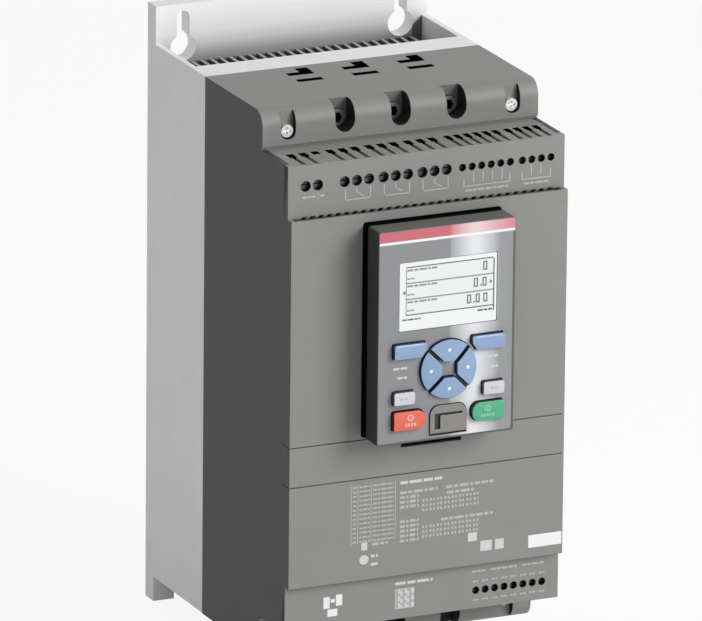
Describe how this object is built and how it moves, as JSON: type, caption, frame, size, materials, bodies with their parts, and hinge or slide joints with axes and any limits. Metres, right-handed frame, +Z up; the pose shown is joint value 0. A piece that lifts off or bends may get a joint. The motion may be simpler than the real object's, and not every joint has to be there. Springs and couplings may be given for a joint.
{
  "type": "soft starter",
  "caption": "Tall wall-mounted soft starter with a finned heat sink, terminal ledges, stepped front covers and a pull-off keypad with a display and keys.",
  "frame": {"origin": "centre of the mounting plate's back face, on the wall", "axes": "+Y into the wall, so the front faces -Y; +Z up along the plate; +X to the right as the operator sees it"},
  "size_m": [0.15, 0.198, 0.314],
  "materials": {
    "aluminium": "bead blasted",
    "housing_plastic": "fine texture",
    "cover_plastic": "fine texture",
    "black_plastic": "matt",
    "bezel_plastic": "satin",
    "overlay_film": "printed silver film",
    "window": "clear",
    "display": "backlit panel",
    "blue_key": "satin",
    "light_key": "satin",
    "red_key": "satin",
    "green_key": "satin",
    "flap_plastic": "satin",
    "steel": "zinc plated",
    "busbar": "plain copper strip",
    "board": "coated circuit board"
  },
  "bodies": {
    "unit": {"heat_sink": "aluminium", "fan_tray": "black_plastic", "housing": "housing_plastic", "line_terminal_cover": "cover_plastic", "motor_terminal_cover": "cover_plastic", "cover_screws": "steel", "upper_terminal_block": "cover_plastic", "lower_terminal_block": "cover_plastic", "upper_terminal_screws": "steel", "lower_terminal_screws": "steel", "front_cover": "cover_plastic", "option_slot_cover": "cover_plastic", "lower_front_cover": "cover_plastic", "keypad_bay": "black_plastic", "line_lugs": "steel", "motor_lugs": "steel", "line_lug_screws": "steel", "motor_lug_screws": "steel", "line_busbars": "busbar", "motor_busbars": "busbar", "busbar_screws": "steel", "power_modules": "black_plastic", "bypass_contactors": "housing_plastic", "current_transformers": "black_plastic", "firing_board": "board", "control_board": "board", "keypad_socket": "black_plastic"},
    "keypad": {"keypad_shell": "black_plastic", "keypad_bezel": "bezel_plastic", "keypad_overlay": "overlay_film", "display_window": "window", "display_module": "display", "keypad_board": "board", "key_mat": "light_key", "usb_socket": "steel", "keypad_plug": "light_key"},
    "soft_key_left": {"soft_key_left": "blue_key"},
    "soft_key_right": {"soft_key_right": "blue_key"},
    "key_up": {"key_up": "blue_key"},
    "key_down": {"key_down": "blue_key"},
    "key_left": {"key_left": "blue_key"},
    "key_right": {"key_right": "blue_key"},
    "local_key": {"local_key": "light_key"},
    "help_key": {"help_key": "light_key"},
    "stop_key": {"stop_key": "red_key"},
    "start_key": {"start_key": "green_key"},
    "usb_flap": {"usb_flap": "flap_plastic"},
    "fan_wheel_left": {"fan_wheel_left": "black_plastic"},
    "fan_wheel_right": {"fan_wheel_right": "black_plastic"}
  },
  "joints": [
    {"name": "keypad_pull", "type": "slide", "parent": "unit", "child": "keypad", "axis": [0, -1, 0], "range_m": [0, 0.03]},
    {"name": "soft_key_left_press", "type": "slide", "parent": "keypad", "child": "soft_key_left", "axis": [0, 1, 0], "range_m": [0, 0.0009], "stiffness_N_per_m": 600, "springref_m": -0.0004},
    {"name": "soft_key_right_press", "type": "slide", "parent": "keypad", "child": "soft_key_right", "axis": [0, 1, 0], "range_m": [0, 0.0009], "stiffness_N_per_m": 600, "springref_m": -0.0004},
    {"name": "key_up_press", "type": "slide", "parent": "keypad", "child": "key_up", "axis": [0, 1, 0], "range_m": [0, 0.0009], "stiffness_N_per_m": 600, "springref_m": -0.0004},
    {"name": "key_down_press", "type": "slide", "parent": "keypad", "child": "key_down", "axis": [0, 1, 0], "range_m": [0, 0.0009], "stiffness_N_per_m": 600, "springref_m": -0.0004},
    {"name": "key_left_press", "type": "slide", "parent": "keypad", "child": "key_left", "axis": [0, 1, 0], "range_m": [0, 0.0009], "stiffness_N_per_m": 600, "springref_m": -0.0004},
    {"name": "key_right_press", "type": "slide", "parent": "keypad", "child": "key_right", "axis": [0, 1, 0], "range_m": [0, 0.0009], "stiffness_N_per_m": 600, "springref_m": -0.0004},
    {"name": "local_key_press", "type": "slide", "parent": "keypad", "child": "local_key", "axis": [0, 1, 0], "range_m": [0, 0.0009], "stiffness_N_per_m": 600, "springref_m": -0.0004},
    {"name": "help_key_press", "type": "slide", "parent": "keypad", "child": "help_key", "axis": [0, 1, 0], "range_m": [0, 0.0009], "stiffness_N_per_m": 600, "springref_m": -0.0004},
    {"name": "stop_key_press", "type": "slide", "parent": "keypad", "child": "stop_key", "axis": [0, 1, 0], "range_m": [0, 0.0009], "stiffness_N_per_m": 600, "springref_m": -0.0004},
    {"name": "start_key_press", "type": "slide", "parent": "keypad", "child": "start_key", "axis": [0, 1, 0], "range_m": [0, 0.0009], "stiffness_N_per_m": 600, "springref_m": -0.0004},
    {"name": "usb_flap_hinge", "type": "hinge", "parent": "keypad", "child": "usb_flap", "pos_m": [0.0025, -0.19365, -0.02], "axis": [1, 0, 0], "range_deg": [0, 90]},
    {"name": "fan_left_spin", "type": "hinge", "parent": "unit", "child": "fan_wheel_left", "pos_m": [-0.036, -0.0315, -0.144], "axis": [0, 0, 1], "continuous": true},
    {"name": "fan_right_spin", "type": "hinge", "parent": "unit", "child": "fan_wheel_right", "pos_m": [0.036, -0.0315, -0.144], "axis": [0, 0, 1], "continuous": true}
  ]
}
